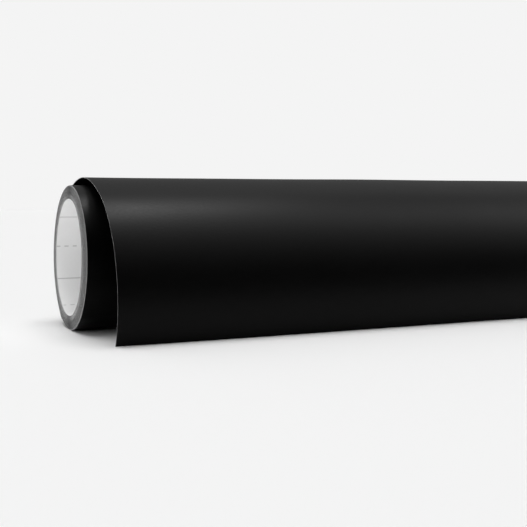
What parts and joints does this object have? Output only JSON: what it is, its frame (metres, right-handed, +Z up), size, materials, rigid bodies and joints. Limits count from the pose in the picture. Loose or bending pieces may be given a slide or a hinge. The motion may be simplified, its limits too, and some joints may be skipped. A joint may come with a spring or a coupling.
{
  "type": "roll of sign vinyl",
  "caption": "Small coreless roll of black adhesive sign vinyl on a white gridded release liner, its outer turn sprung loose and curling down in front.",
  "frame": {"origin": "middle of the underside of the whole object's box, on the surface that the roll lies on", "axes": "+X along the roll's axis, -Y the side where the loose end curls down, +Z up"},
  "size_m": [0.3094, 0.077, 0.0556],
  "materials": {
    "face_film": "matte to satin calendered PVC film",
    "adhesive": "clear pressure-sensitive adhesive coat",
    "release_liner": "satin silicone-coated paper with a light grey grid"
  },
  "bodies": {
    "outer_windings": {"liner_outer_windings": "release_liner", "adhesive_outer_windings": "adhesive", "film_outer_windings": "face_film"},
    "middle_windings": {"liner_middle_windings": "release_liner", "adhesive_middle_windings": "adhesive", "film_middle_windings": "face_film"},
    "inner_windings": {"liner_inner_windings": "release_liner", "adhesive_inner_windings": "adhesive", "film_inner_windings": "face_film"},
    "loose_turn": {"liner_loose_turn": "release_liner", "adhesive_loose_turn": "adhesive", "film_loose_turn": "face_film"},
    "tail_upper": {"liner_tail_upper": "release_liner", "adhesive_tail_upper": "adhesive", "film_tail_upper": "face_film"},
    "tail_middle": {"liner_tail_middle": "release_liner", "adhesive_tail_middle": "adhesive", "film_tail_middle": "face_film"},
    "tail_lower": {"liner_tail_lower": "release_liner", "adhesive_tail_lower": "adhesive", "film_tail_lower": "face_film"},
    "film_lead": {"adhesive_lead": "adhesive", "film_lead": "face_film"}
  },
  "joints": [
    {"name": "middle_telescope", "type": "slide", "parent": "outer_windings", "child": "middle_windings", "axis": [-1, 0, 0], "range_m": [-0.015, 0.015]},
    {"name": "inner_telescope", "type": "slide", "parent": "middle_windings", "child": "inner_windings", "axis": [-1, 0, 0], "range_m": [-0.015, 0.015]},
    {"name": "unwind", "type": "hinge", "parent": "outer_windings", "child": "loose_turn", "pos_m": [0, 0.01047, 0.02633], "axis": [-1, 0, 0], "range_deg": [0, 120]},
    {"name": "tail_lift", "type": "hinge", "parent": "loose_turn", "child": "tail_upper", "pos_m": [0, 0.00945, 0.05552], "axis": [-1, 0, 0], "range_deg": [0, 100], "stiffness_Nm_per_rad": 0.012},
    {"name": "tail_uncurl", "type": "hinge", "parent": "tail_upper", "child": "tail_middle", "pos_m": [0, -0.01485, 0.04969], "axis": [-1, 0, 0], "range_deg": [0, 40], "stiffness_Nm_per_rad": 0.012},
    {"name": "tail_uncurl_lower", "type": "hinge", "parent": "tail_middle", "child": "tail_lower", "pos_m": [0, -0.03438, 0.03047], "axis": [-1, 0, 0], "range_deg": [0, 40], "stiffness_Nm_per_rad": 0.012},
    {"name": "film_peel", "type": "hinge", "parent": "tail_lower", "child": "film_lead", "pos_m": [0, -0.03783, 0.02008], "axis": [-1, 0, 0], "range_deg": [0, 135]}
  ],
  "couplings": [
    {"joint": "inner_telescope", "follows": "middle_telescope", "ratio": 1},
    {"joint": "tail_uncurl_lower", "follows": "tail_uncurl", "ratio": 1}
  ]
}
